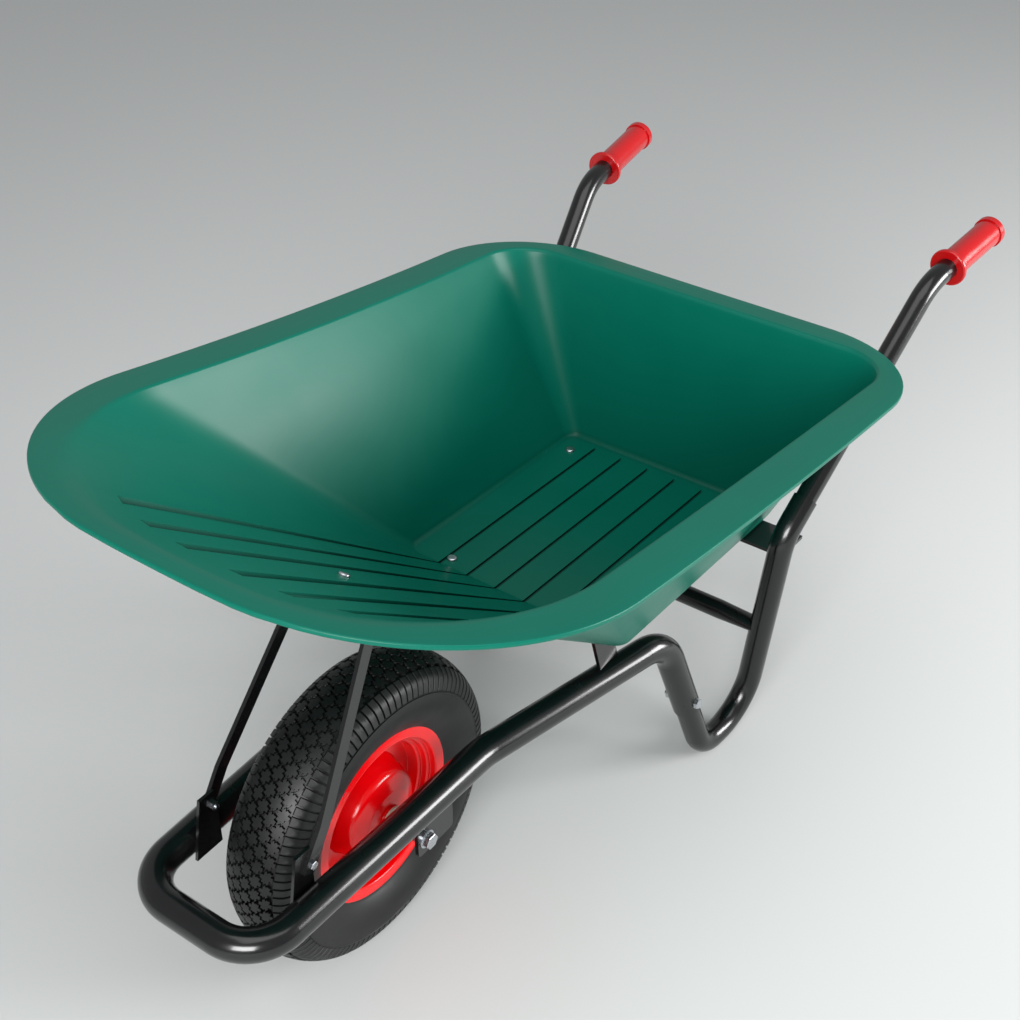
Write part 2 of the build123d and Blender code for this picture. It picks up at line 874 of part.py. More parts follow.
bolt_end = tub_washer + tub_nut_height + tub_bolt_past
bolt_reach = tub_wall + bearer_sheet + bolt_end

# Rim of the tub: a flat flange with a turned-down lip, both following the dip
flange_reach = wall_overrun + 2 * rim_sag + lip_height
with BuildPart() as flange:
    extrude(tub_flange(0), amount=flange_reach, both=True)
    add(rim_band(0, tub_wall), mode=Mode.INTERSECT)
with BuildPart() as lip:
    extrude(tub_flange(0), amount=flange_reach, both=True)
    extrude(tub_flange(tub_wall), amount=flange_reach, both=True, mode=Mode.SUBTRACT)
    add(rim_band(0, lip_height), mode=Mode.INTERSECT)

with BuildPart() as tub:
    add(tub_outside.part)
    add(rim_band(flange_reach, 0), mode=Mode.SUBTRACT)
    add(flange.part)
    add(lip.part)
    add(tub_inside.part, mode=Mode.SUBTRACT)
    rim_top = tub.faces().filter_by(GeomType.CYLINDER).sort_by(SortBy.AREA)[-1]
    fillet(rim_top.inner_wires()[0].edges(), rim_round)
    rim_top = tub.faces().filter_by(GeomType.CYLINDER).sort_by(SortBy.AREA)[-1]
    fillet(rim_top.outer_wire().edges(), lip_round)
    add(grooves.part, mode=Mode.SUBTRACT)
    for plane in bolt_planes:
        extrude(circle_face(plane, bolt_hole_d), amount=bolt_reach, both=True, mode=Mode.SUBTRACT)
keep("tub", tub.part)

# Bearers: strips under the floor, welded to the rails and to the rear legs
under_floor = floor_plane.offset(-tub_wall)


def under_floor_at(x):
    return under_floor.from_local_coords(Vector(x, 0, 0))


bearer_line = Vector(floor_cos, 0, floor_sin)
front_bearer_back = under_floor_at(-front_bearer_behind_edge - front_bearer_width / 2)
front_bearer_plane = Plane(origin=front_bearer_back, x_dir=(0, 1, 0), z_dir=bearer_line)
bearer_drop = front_bearer_back.Z - rail_up
with BuildPart() as front_tub_bearer:
    with BuildSketch(front_bearer_plane):
        with BuildLine() as bearer_path:
            FilletPolyline(
                (-front_bearer_foot, -bearer_drop),
                (-front_bearer_flat, -bearer_sheet / 2),
                (front_bearer_flat, -bearer_sheet / 2),
                (front_bearer_foot, -bearer_drop),
                radius=front_bearer_bend,
            )
        trace(bearer_path.line, line_width=bearer_sheet)
    extrude(amount=front_bearer_width)
    add(rail_bar.part, mode=Mode.SUBTRACT)
    for plane in floor_bolts:
        extrude(circle_face(plane, bolt_hole_d), amount=-bolt_reach, mode=Mode.SUBTRACT)
keep("front_tub_bearer", front_tub_bearer.part)

rear_bearer_plane = under_floor.shift_origin(under_floor_at(-rear_bearer_behind_edge))
with BuildPart() as rear_tub_bearer:
    with BuildSketch(rear_bearer_plane):
        Rectangle(rear_bearer_width, 2 * knee_half)
    extrude(amount=-bearer_sheet)
    add(leg_bars.part, mode=Mode.SUBTRACT)
    for plane in floor_bolts:
        extrude(circle_face(plane, bolt_hole_d), amount=-bolt_reach, mode=Mode.SUBTRACT)
keep("rear_tub_bearer", rear_tub_bearer.part)

# Brace: a strip bent to an upside-down U, trimmed flush under the front slope
brace_foot = at(brace_foot_fore, 0, brace_foot_up)
under_low = floor_plane.from_local_coords(Vector(tub_wall, 0, -tub_wall))
under_high = rim_plane.from_local_coords(Vector(rim_length + tub_wall, 0, wall_overrun))
under_share = (brace_top_x - under_low.X) / (under_high.X - under_low.X)
brace_top = under_low + (under_high - under_low) * under_share
brace_line = (brace_foot - brace_top).normalized()
brace_length = (brace_foot - brace_top).length
brace_plane = Plane(origin=brace_top, x_dir=(0, 1, 0), z_dir=Vector(0, 1, 0).cross(brace_line))
bracket_face = rail_half_at(brace_foot_fore) - rail_od / 2 + brace_bracket_weld
brace_foot_half = bracket_face + brace_sheet / 2
brace_knee = brace_length + (brace_bracket_top + brace_width) / brace_line.Z
brace_top_middle = brace_sheet / 2 - brace_trim
with BuildPart() as plain_brace:
    with BuildSketch(brace_plane):
        with BuildLine() as brace_path:
            FilletPolyline(
                (-brace_foot_half, brace_length),
                (-brace_foot_half, brace_knee),
                (-brace_top_half, brace_top_middle),
                (brace_top_half, brace_top_middle),
                (brace_foot_half, brace_knee),
                (brace_foot_half, brace_length),
                radius=brace_bend,
            )
        trace(brace_path.line, line_width=brace_sheet)
    extrude(amount=brace_width / 2, both=True)
    add(tub_outside.part, mode=Mode.SUBTRACT)

# Brackets for the brace's feet, against the inner sides of the rails
brace_bolt_at = at(brace_foot_fore, bracket_face, brace_foot_up) - brace_line * brace_bolt_up
brace_bolt_fore = brace_bolt_at.X - axle_x
bracket_bottom = nose_up - rail_od / 2
with BuildPart() as brace_bracket:
    with BuildSketch(upright_plane(bracket_face)):
        with BuildLine():
            Polyline(
                (brace_foot_fore + brace_bracket_toe, bracket_bottom),
                (brace_foot_fore + brace_bracket_front, brace_foot_up + brace_bracket_top),
                (brace_foot_fore - brace_bracket_back, brace_foot_up + brace_bracket_top),
                (brace_foot_fore - brace_bracket_back, bracket_bottom),
                close=True,
            )
        make_face()
        with Locations((brace_bolt_fore, brace_bolt_at.Z)):
            Circle(brace_bolt_d / 2 + bolt_clearance, mode=Mode.SUBTRACT)
    extrude(amount=brace_bracket_sheet)
    add(rail_bar.part, mode=Mode.SUBTRACT)
keep_pair("brace_bracket", brace_bracket.part)


def brace_side(half, facing):
    return Plane(origin=(brace_bolt_at.X, half, brace_bolt_at.Z), x_dir=(1, 0, 0), z_dir=(0, facing, 0))


brace_outer = bracket_face + brace_sheet
brace_inner = bracket_face - brace_bracket_sheet
brace_bolt_reach = brace_outer - brace_inner + brace_nut_height + brace_bolt_past
brace_bolt_hole = circle_face(brace_side(brace_outer, 1), brace_bolt_d + 2 * bolt_clearance)
slope_wall = (slope_bolt.origin - brace_top).dot(slope_bolt.z_dir)
brace_washer_seat = slope_bolt.offset(-slope_wall - brace_seat)
with BuildPart() as front_brace:
    add(plain_brace.part)
    extrude(brace_bolt_hole, amount=brace_sheet, both=True, mode=Mode.SUBTRACT)
    extrude(brace_bolt_hole.mirror(Plane.XZ), amount=brace_sheet, both=True, mode=Mode.SUBTRACT)
    extrude(circle_face(slope_bolt, bolt_hole_d), amount=-bolt_reach, mode=Mode.SUBTRACT)
    washer_room = tub_washer_od + 2 * bolt_clearance
    extrude(circle_face(brace_washer_seat, washer_room), amount=-brace_sheet, mode=Mode.SUBTRACT)
keep("front_brace", front_brace.part)

with BuildPart() as brace_bolts:
    add(
        hex_bolt(
            brace_side(brace_outer, 1),
            brace_bolt_d,
            brace_bolt_flats,
            brace_bolt_head,
            brace_bolt_reach,
        )
    )
    mirror(about=Plane.XZ)
keep("brace_bolts", brace_bolts.part)

with BuildPart() as brace_nuts:
    add(hex_nut(brace_side(brace_inner, -1), brace_bolt_d, brace_bolt_flats, brace_nut_height))
    mirror(about=Plane.XZ)
keep("brace_nuts", brace_nuts.part)

# Fasteners of the tub: a round head inside, a washer and a nut below
washer_seats = [plane.offset(-tub_wall - bearer_sheet) for plane in floor_bolts] + [brace_washer_seat]


def round_bolt(seat, reach):
    with BuildPart() as bolt:
        extrude(circle_face(seat, tub_bolt_head_d), amount=tub_bolt_head)
        fillet(bolt.faces().sort_by(Axis(seat.origin, seat.z_dir))[-1].edges(), tub_bolt_round)
        extrude(circle_face(seat, tub_bolt_d), amount=-reach)
    return bolt.part


with BuildPart() as tub_bolts:
    for plane in floor_bolts:
        add(round_bolt(plane, bolt_reach))
    slope_seat = slope_bolt.offset(seat_clearance)
    add(round_bolt(slope_seat, seat_clearance + slope_wall + brace_seat + bolt_end))
keep("tub_bolts", tub_bolts.part)

with BuildPart() as tub_washers:
    for plane in washer_seats:
        extrude(circle_face(plane, tub_washer_od), amount=-tub_washer)
        extrude(circle_face(plane, bolt_hole_d), amount=-tub_washer, mode=Mode.SUBTRACT)
keep("tub_washers", tub_washers.part)

with BuildPart() as tub_nuts:
    for plane in washer_seats:
        nut_plane = plane.offset(-tub_washer)
        down = Plane(origin=nut_plane.origin, x_dir=(0, 1, 0), z_dir=-nut_plane.z_dir)
        add(hex_nut(down, tub_bolt_d, tub_nut_flats, tub_nut_height))
keep("tub_nuts", tub_nuts.part)

os.makedirs("parts", exist_ok=True)
for name, part in parts.items():
    export_step(part, f"parts/{name}.step")
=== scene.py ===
import json
from math import asin, atan2, cos, pi, radians, sin, sqrt, tan

import bmesh
import bpy
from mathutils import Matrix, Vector


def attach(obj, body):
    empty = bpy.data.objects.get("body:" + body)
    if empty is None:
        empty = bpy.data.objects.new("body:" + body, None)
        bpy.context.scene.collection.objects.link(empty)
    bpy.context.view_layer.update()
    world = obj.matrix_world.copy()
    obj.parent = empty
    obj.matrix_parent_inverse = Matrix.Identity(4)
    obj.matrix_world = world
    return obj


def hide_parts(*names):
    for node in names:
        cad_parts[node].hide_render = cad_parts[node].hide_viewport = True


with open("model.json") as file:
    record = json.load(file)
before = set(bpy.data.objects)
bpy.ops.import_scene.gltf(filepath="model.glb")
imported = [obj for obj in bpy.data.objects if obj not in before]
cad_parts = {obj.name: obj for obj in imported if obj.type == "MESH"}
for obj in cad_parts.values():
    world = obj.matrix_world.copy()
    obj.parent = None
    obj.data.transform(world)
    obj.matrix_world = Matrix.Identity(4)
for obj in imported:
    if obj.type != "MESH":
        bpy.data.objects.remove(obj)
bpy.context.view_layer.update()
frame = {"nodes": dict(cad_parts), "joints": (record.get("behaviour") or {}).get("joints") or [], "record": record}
nodes = frame["nodes"]
axle = Vector(frame["joints"][0]["pos_m"])
mm = 0.001
across = Vector((0, 1, 0))
noiseRange = (0.3, 0.7)  # where nearly all of a noise pattern's values lie


def linear(hexColour):
    shares = [int(hexColour[i:i + 2], 16) / 255 for i in (1, 3, 5)]
    return [s / 12.92 if s <= 0.04045 else ((s + 0.055) / 1.055) ** 2.4 for s in shares] + [1]


def addNode(tree, kind, values=None, links=None, **settings):
    node = tree.nodes.new(kind)
    for name, value in settings.items():
        setattr(node, name, value)
    for socket, value in (values or {}).items():
        node.inputs[socket].default_value = value
    for socket, source in (links or {}).items():
        tree.links.new(source, node.inputs[socket])
    return node


def startMaterial(name, values):
    material = bpy.data.materials.new(name)
    material.use_nodes = True
    shader = material.node_tree.nodes["Principled BSDF"]
    for socket, value in values.items():
        shader.inputs[socket].default_value = value
    return material, material.node_tree, shader


def noise(tree, sizeMm, detail):
    place = addNode(tree, "ShaderNodeTexCoord").outputs["Object"]  # metres in the barrow's own frame
    values = {"Scale": 1 / (sizeMm * mm), "Detail": detail}
    return addNode(tree, "ShaderNodeTexNoise", values, {"Vector": place}).outputs["Fac"]


def remapped(tree, source, fromRange, toRange):
    values = {
        "From Min": fromRange[0], "From Max": fromRange[1], "To Min": toRange[0], "To Max": toRange[1],
    }
    return addNode(tree, "ShaderNodeMapRange", values, {"Value": source}).outputs["Result"]


def mixed(tree, factor, values, links):
    links = {"Factor": factor, **links}
    return addNode(tree, "ShaderNodeMix", values, links, data_type="RGBA").outputs["Result"]


def paintedCreviceShade(tree, colour, creviceShade):
    # Painted shade: an ambient occlusion node darkens the colour in the grooves and tight corners.
    openness = addNode(
        tree, "ShaderNodeAmbientOcclusion", {"Distance": creviceShade["reachMm"] * mm},
        samples=creviceShade["samples"], only_local=True,
    ).outputs["AO"]
    unshaded = remapped(tree, openness, creviceShade["range"], (0, 1))
    return mixed(tree, unshaded, {"A": linear(creviceShade["colour"])}, {"B": colour})


def makeFinish(name, finish):
    # Colour and roughness share one noise. Relief and painted crevice shade are there where the finish has them.
    material, tree, shader = startMaterial(name, finish["shader"])
    shade = noise(tree, *finish["shade"])
    first, second = finish["colours"]
    colour = mixed(tree, shade, {"A": linear(first), "B": linear(second)}, {})
    if "creviceShade" in finish:
        colour = paintedCreviceShade(tree, colour, finish["creviceShade"])
    tree.links.new(colour, shader.inputs["Base Color"])
    tree.links.new(remapped(tree, shade, noiseRange, finish["roughness"]), shader.inputs["Roughness"])
    if "relief" in finish:
        relief = finish["relief"]
        values = {"Strength": relief["strength"], "Distance": relief["depthMm"] * mm}
        bump = addNode(tree, "ShaderNodeBump", values, {"Height": noise(tree, *relief["pattern"])})
        tree.links.new(bump.outputs["Normal"], shader.inputs["Normal"])
    return material


# In each finish, shade and relief pattern are a feature size in millimetres and a noise detail.

# Injection moulded polypropylene: satin and evenly dyed, with a pebbled grain drawn coarse so that it shows
polypropylene = {
    "colours": ("#005F4E", "#016856"), "shade": (140, 3), "roughness": (0.3, 0.36),
    # Painted shade: the colour darkens towards #001A15 in grooves and tight corners, within 11 mm
    "creviceShade": {"colour": "#001A15", "reachMm": 11, "samples": 8, "range": (0.58, 0.97)},
    "relief": {"pattern": (1.6, 2), "strength": 0.35, "depthMm": 0.06},
    "shader": {"IOR": 1.49, "Specular IOR Level": 0.22},
}
# Black powder coat baked on steel: glossy with a slight orange peel
powderCoat = {
    "colours": ("#050506", "#0A0A0B"), "shade": (60, 4), "roughness": (0.2, 0.28),
    "relief": {"pattern": (3.2, 1), "strength": 0.25, "depthMm": 0.05},
    "shader": {"Coat Weight": 0.25, "Coat Roughness": 0.08},
}
# Stoved enamel on pressed steel: wet-looking red with a soft waviness from the press
enamel = {
    "colours": ("#E20209", "#D10108"), "shade": (22, 2), "roughness": (0.16, 0.24),
    "relief": {"pattern": (22, 2), "strength": 0.2, "depthMm": 0.2},
    "shader": {"IOR": 1.48},
}
# Dip moulded soft vinyl: glossy red with a faint skin texture
vinyl = {
    "colours": ("#B90209", "#A90208"), "shade": (30, 2), "roughness": (0.22, 0.32),
    "relief": {"pattern": (1.8, 2), "strength": 0.3, "depthMm": 0.04},
    "shader": {"IOR": 1.53, "Coat Weight": 0.25},
}
# Vulcanised rubber with carbon black: dull, slightly bloomed and finely pitted by the mould
rubber = {
    "colours": ("#050606", "#0B0C0D"), "shade": (35, 5), "roughness": (0.42, 0.54),
    "relief": {"pattern": (1.2, 3), "strength": 0.4, "depthMm": 0.06},
    "shader": {"IOR": 1.52, "Specular IOR Level": 0.38},
}
# Bright zinc plate on steel: silvery, with a faint blotchy passivation
zinc = {
    "colours": ("#D3D6DA", "#A9ADB3"), "shade": (6, 4), "roughness": (0.18, 0.34), "shader": {"Metallic": 1},
}
# Turned nylon: milky and waxy, for the wheel's bushes
nylon = {
    "colours": ("#CFC9B8", "#BDB6A3"), "shade": (8, 3), "roughness": (0.4, 0.55), "shader": {"IOR": 1.5},
}
# Moulded polythene: grey and waxy, for the valve's cap
polythene = {
    "colours": ("#4A504E", "#3B403F"), "shade": (8, 3), "roughness": (0.4, 0.55), "shader": {"IOR": 1.5},
}

finishes = {
    "green_plastic": makeFinish("mouldedPolypropylene", polypropylene),
    "black_powder_coat": makeFinish("powderCoatedSteel", powderCoat),
    "red_enamel": makeFinish("stovedEnamel", enamel),
    "red_grip_plastic": makeFinish("mouldedVinyl", vinyl),
    "tyre_rubber": makeFinish("vulcanisedRubber", rubber),
    "zinc_plated_steel": makeFinish("zincPlate", zinc),
    "bush_nylon": makeFinish("turnedNylon", nylon),
    "cap_plastic": makeFinish("mouldedPolythene", polythene),
}
finishes["tube_rubber"] = finishes["tyre_rubber"]
print("finishes made:", len(finishes))

# Metres within which points merge and slivers go
meshLimits = {"merge": 1e-6, "degenerate": 1e-7}


def addToScene(name, data):
    thing = bpy.data.objects.new(name, data)
    bpy.context.scene.collection.objects.link(thing)
    return thing


def gridFaces(rows, columns, wrap, start=0):
    faces = []
    for row in range(rows - 1):
        for column in range(columns if wrap else columns - 1):
            following = (column + 1) % columns
            low = start + row * columns
            faces.append((low + column, low + following, low + columns + following, low + columns + column))
    return faces


def makePiece(name, points, faces, slot, body, replaced, creaseDegrees):
    mesh = bpy.data.meshes.new(name)
    mesh.from_pydata(points, [], faces)
    build = bmesh.new()
    build.from_mesh(mesh)
    bmesh.ops.remove_doubles(build, verts=build.verts, dist=meshLimits["merge"])
    bmesh.ops.dissolve_degenerate(build, edges=build.edges, dist=meshLimits["degenerate"])
    bmesh.ops.recalc_face_normals(build, faces=build.faces)
    build.to_mesh(mesh)
    build.free()
    mesh.shade_smooth()
    mesh.set_sharp_from_angle(angle=radians(creaseDegrees))
    piece = addToScene(name, mesh)
    mesh.materials.append(finishes[slot])
    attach(piece, body)
    if replaced:
        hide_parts(*replaced)
    return piece


def roundedCorner(before, corner, after, radius, steps):
    # Points of the arc that rounds a corner between two straight runs.
    back = (before - corner).normalized()
    onward = (after - corner).normalized()
    half = back.angle(onward) / 2
    centre = corner + (back + onward).normalized() * (radius / sin(half))
    first = corner + back * (radius / tan(half)) - centre
    last = corner + onward * (radius / tan(half)) - centre
    turn = first.angle(last)
    shares = [step / steps for step in range(steps + 1)]
    return [centre + (first * sin((1 - s) * turn) + last * sin(s * turn)) / sin(turn) for s in shares]


# Tub, in millimetres forward from the axle and up from the ground, as the frame holds it
tub = {
    "floorFront": (-306, 317.9), "floorTilt": 3.82, "floorLength": 395, "floorHalf": 168.5, "floorCorner": 20,
    "rimRear": (-741.4, 558), "rimTilt": 9.43, "rimLength": 981, "rimHalf": 302.5, "rimWidening": 6.1,
    "rimRecede": 51, "rimCorner": 74, "rimShoulder": 246, "rimSag": 14.8, "overrun": 2,
    "flangeRear": 41, "flangeFront": 21, "flangeSide": 44, "flangeRecede": 21, "flangeCorner": 82,
    "flangeShoulder": 36, "wall": 4, "lip": 5.5, "floorRound": 8, "rimRound": 6, "noseRound": 42,
    "edgeRound": 1.8, "lipRound": 1.2, "brimUnderRound": 4, "frontReach": 0.57, "border": (18, 14),
    "grooveCentres": (22.9, 68.7, 114.5), "grooveTops": (36.7, 95.2, 152.6), "grooveWidth": (4.6, 19),
    "grooveDepth": (2.2, 6.4), "grooveGrowth": 3, "grooveSlope": 0.84, "grooveEnd": 0.93, "grooveSheet": 1.8,
    "grooveStop": 5, "landStep": (15, 13), "creaseDegrees": 28,
}
tubSteps = {"side": 12, "leftFront": 26, "leftRear": 16, "seek": 5}


def floorOutline(grow):
    half = tub["floorHalf"] + grow
    corner = tub["floorCorner"] + grow
    front = grow
    rear = -tub["floorLength"] - grow
    straight = half - corner

    def arc(x, y, start):
        return lambda t: (x + corner * cos(start + t * pi / 2), y + corner * sin(start + t * pi / 2))

    return {
        "front": lambda t: (front, straight * t),
        "leftFront": arc(front - corner, straight, 0),
        "left": lambda t: (front - corner + t * (rear - front + 2 * corner), half),
        "leftRear": arc(rear + corner, straight, pi / 2),
        "rear": lambda t: (rear, straight * t),
        "straight": straight,
    }


def rimOutline(rear, front, halfRear, halfFront, recede, corner, shoulder):
    # The rim's left half: front arc, shoulder, side, rear corner, rear. The right half mirrors it.
    start = Vector((rear, halfRear))
    side = (Vector((front - recede, halfFront)) - start).normalized()
    outward = Vector((-side.y, side.x))
    noseRadius = (halfFront ** 2 + recede ** 2) / (2 * recede)
    nose = Vector((front - noseRadius, 0))
    reach = start - outward * shoulder - nose
    sideReach = reach.dot(side)
    along = -sideReach + sqrt(sideReach ** 2 - reach.length_squared + (noseRadius - shoulder) ** 2)
    shoulderCentre = start + side * along - outward * shoulder
    noseAngle = atan2(shoulderCentre.y, shoulderCentre.x - nose.x)
    sideAngle = atan2(outward.y, outward.x)
    cornerAlong = corner * (1 + outward.x) / side.x
    cornerCentre = start + side * cornerAlong - outward * corner
    straightSide = (start + side * along, start + side * cornerAlong)

    def arc(centre, radius, first, last):
        def at(t):
            angle = first + t * (last - first)
            return centre.x + radius * cos(angle), centre.y + radius * sin(angle)

        return at

    noseHalf = noseRadius * sin(noseAngle)
    frontHalf = halfFront * tub["frontReach"]
    frontAngle = asin((frontHalf - shoulderCentre.y) / shoulder)

    def frontAt(t):
        y = frontHalf * t
        if abs(y) < noseHalf:
            return nose.x + sqrt(noseRadius ** 2 - y ** 2), y
        return shoulderCentre.x + sqrt(shoulder ** 2 - (abs(y) - shoulderCentre.y) ** 2), y

    return {
        "front": frontAt,
        "leftFront": arc(shoulderCentre, shoulder, frontAngle, sideAngle),
        "left": lambda t: tuple(straightSide[0].lerp(straightSide[1], t)),
        "leftRear": arc(cornerCentre, corner, sideAngle, pi),
        "rear": lambda t: (rear, cornerCentre.y * t),
        "straight": frontHalf,
    }


def tubRim(grow):
    half = tub["rimHalf"] + grow
    return rimOutline(
        -grow, tub["rimLength"] + grow, half, half + tub["rimWidening"],
        tub["rimRecede"], tub["rimCorner"] + grow, tub["rimShoulder"] + grow,
    )


def tubFlange(inset):
    half = tub["rimHalf"] + tub["flangeSide"] - inset
    return rimOutline(
        inset - tub["flangeRear"], tub["rimLength"] + tub["flangeFront"] - inset,
        half, half + tub["rimWidening"], tub["flangeRecede"],
        tub["rimCorner"] + tub["flangeCorner"] - inset, tub["rimShoulder"] + tub["flangeShoulder"] - inset,
    )


class SlantedPlane:
    def __init__(self, fore, up, tilt):
        self.origin = Vector((axle.x / mm + fore, 0, up))
        self.along = Vector((cos(radians(tilt)), 0, sin(radians(tilt))))
        self.normal = Vector((-sin(radians(tilt)), 0, cos(radians(tilt))))

    def point(self, x, y, z):
        return self.origin + self.along * x + across * y + self.normal * z

    def local(self, point):
        offset = point - self.origin
        return offset.dot(self.along), offset.dot(self.normal)


floorPlane = SlantedPlane(*tub["floorFront"], tub["floorTilt"])
rimPlane = SlantedPlane(*tub["rimRear"], tub["rimTilt"])


def rimSagAt(x):
    return tub["rimSag"] * ((2 * x / tub["rimLength"] - 1) ** 2 - 1)


def wallTop(foot, top, drop):
    # Where the wall's line meets the dipped rim surface, or that surface lowered by drop.
    lowX, lowZ = rimPlane.local(foot)
    highX, highZ = rimPlane.local(top)
    share = 1.0
    for _ in range(tubSteps["seek"]):
        x = lowX + (highX - lowX) * share
        z = lowZ + (highZ - lowZ) * share
        share -= (z + drop - rimSagAt(x)) / (highZ - lowZ)
    return foot.lerp(top, share)


def onRim(place, drop):
    return rimPlane.point(place[0], place[1], rimSagAt(place[0]) - drop)


# The front's columns: four at each groove, and one between grooves, from the middle outwards
def grooveColumns():
    low, high = tub["grooveWidth"]
    bed = tub["grooveSlope"]
    onFloor, onBrim = tub["landStep"]
    columns = [(0.0, 0.0, 0)]
    for centre, top in zip(tub["grooveCentres"], tub["grooveTops"]):
        for side in (-1, 1):
            outer = (centre + side * low / 2, top + side * high / 2, 0)
            inner = (centre + side * low / 2 * bed, top + side * high / 2 * bed, 1)
            columns += [outer, inner] if side < 0 else [inner, outer]
        columns.append((centre + onFloor, top + onBrim, 0))
    return columns


floorIn = floorOutline(0)
floorOut = floorOutline(tub["wall"])
rimIn = tubRim(0)
rimOut = tubRim(tub["wall"])
flangeOuter = tubFlange(0)
flangeInner = tubFlange(tub["wall"])
floorLines = grooveColumns() + [(floorIn["straight"], rimIn["straight"], 0)]
floorLines = [(-low, -high, cut) for low, high, cut in reversed(floorLines[1:])] + floorLines
borderFront, borderRear = -tub["border"][0], tub["border"][1] - tub["floorLength"]
rowX = [
    borderFront + (borderRear - borderFront) * row / (tubSteps["side"] - 1) for row in range(tubSteps["side"])
]
rowX.insert(-1, borderRear + tub["grooveStop"])


def columnPlan():
    # Each column: edge, share on floor outlines, share on rim outlines, mirrored, border point, in a groove.
    plan = []
    straight = floorIn["straight"]
    for low, high, cut in floorLines:
        plan.append(("front", low / straight, high / rimIn["straight"], False, (borderFront, low), cut))
    for step in range(1, tubSteps["leftFront"]):
        share = step / tubSteps["leftFront"]
        plan.append(("leftFront", share, share, False, (borderFront, straight), 0))
    for x in rowX:
        share = (x - borderFront) / (borderRear - borderFront)
        plan.append(("left", share, share, False, (x, straight), 0))
    for step in range(1, tubSteps["leftRear"]):
        share = step / tubSteps["leftRear"]
        plan.append(("leftRear", share, share, False, (borderRear, straight), 0))
    for low, _, _ in reversed(floorLines):
        plan.append(("rear", low / straight, low / straight, False, (borderRear, low), 0))
    for edge, share, rimShare, _, place, cut in reversed(plan[len(floorLines):-len(floorLines)]):
        plan.append((edge, share, rimShare, True, (place[0], -place[1]), cut))
    return plan


# A column's runs go from the floor up the wall, over the rim and back underneath, each with its shares.
# Between two runs lies a rounded corner with its steps.
wallShares = [0, 0.06, 0.14, 0.24, 0.34, 0.44, 0.54, 0.64, 0.73, 0.81, 0.88, 0.91, 0.924, 0.936, 0.965, 1]
underShares = [1 - share for share in reversed(wallShares)]
halved = [0, 0.5, 1]
flangeShares = [0, 0.3, 0.6, 1]
whole = [0, 1]
runShares = [halved, wallShares, flangeShares, whole, whole, whole, halved, underShares, whole]
cornerSteps = [6, 8, 5, 3, 3, 2, 4, 5]
floorRun, wallRun, underRun = 0, 1, 7


def grooveDepthAt(share):
    # A groove deepens up the slope and stops short of the rim.
    shallow, deep = tub["grooveDepth"]
    if share >= tub["grooveEnd"]:
        return 0
    return shallow + (deep - shallow) * share ** tub["grooveGrowth"]


def sunkAt(run, share):
    # How far a groove's bed lies off the smooth sheet. Underneath, the sheet swells where the groove is deep.
    if run == floorRun:
        return tub["grooveDepth"][0]
    if run == wallRun:
        return grooveDepthAt(share)
    if run == underRun:
        return min(tub["grooveSheet"] - grooveDepthAt(1 - share), 0)
    return 0


def tubColumn(edge, share, rimShare, flip, border, cut):
    wall, lip, lipRound = tub["wall"], tub["lip"], tub["lipRound"]

    def on(outline, at):
        x, y = outline[edge](at)
        return x, -y if flip else y

    foot = floorPlane.point(*on(floorIn, share), 0)
    top = rimPlane.point(*on(rimIn, rimShare), tub["overrun"])
    footOut = floorPlane.point(*on(floorOut, share), -wall)
    topOut = rimPlane.point(*on(rimOut, rimShare), tub["overrun"])
    outer = on(flangeOuter, rimShare)
    inner = on(flangeInner, rimShare)
    noseShare = {"front": 1, "leftFront": (1 - share) ** 2}.get(edge, 0)
    brimRound = tub["rimRound"] + (tub["noseRound"] - tub["rimRound"]) * noseShare
    places = [
        floorPlane.point(*border, 0), foot, wallTop(foot, top, 0), onRim(outer, 0), onRim(outer, lip),
        onRim(inner, lip), onRim(inner, wall), wallTop(footOut, topOut, wall), footOut,
        floorPlane.point(*border, -wall),
    ]
    rounds = [
        tub["floorRound"], brimRound, tub["edgeRound"], lipRound, lipRound, lipRound, tub["brimUnderRound"],
        tub["floorRound"] + wall,
    ]
    arcs = [
        roundedCorner(*places[index:index + 3], radius, steps)
        for index, (radius, steps) in enumerate(zip(rounds, cornerSteps))
    ]
    arcs = [places[:1]] + arcs + [places[-1:]]
    points = list(arcs[0])
    depths = [sunkAt(floorRun, 0)]
    for run, shares in enumerate(runShares):
        start, end = arcs[run][-1], arcs[run + 1][0]
        points += [start.lerp(end, at) for at in shares[1:-1]] + arcs[run + 1]
        depths += [sunkAt(run, at) for at in shares[1:-1]]
        depths += [sunkAt(run, 0) if run == floorRun else 0] * len(arcs[run + 1])
    if cut:
        headings = [points[row + 1] - points[max(row - 1, 0)] for row in range(len(points) - 1)]
        for row, heading in enumerate(headings):
            points[row] = points[row] - heading.cross(across).normalized() * depths[row]
    return points


def makeTub():
    columns = [tubColumn(*column) for column in columnPlan()]
    rowCount = len(columns[0])
    points = [column[row] * mm for row in range(rowCount) for column in columns]
    faces = gridFaces(rowCount, len(columns), True)
    for level, grooved in ((0, True), (-tub["wall"], False)):
        start = len(points)
        for index, x in enumerate(rowX):
            for low, _, cut in floorLines:
                sunk = tub["grooveDepth"][0] if grooved and cut and index < len(rowX) - 1 else 0
                points.append(floorPlane.point(x, low, level - sunk) * mm)
        faces += gridFaces(len(rowX), len(floorLines), False, start)
    return makePiece("tubShell", points, faces, "green_plastic", "frame", ["tub"], tub["creaseDegrees"])


tubShell = makeTub()
print("tub made, faces:", len(tubShell.data.polygons))


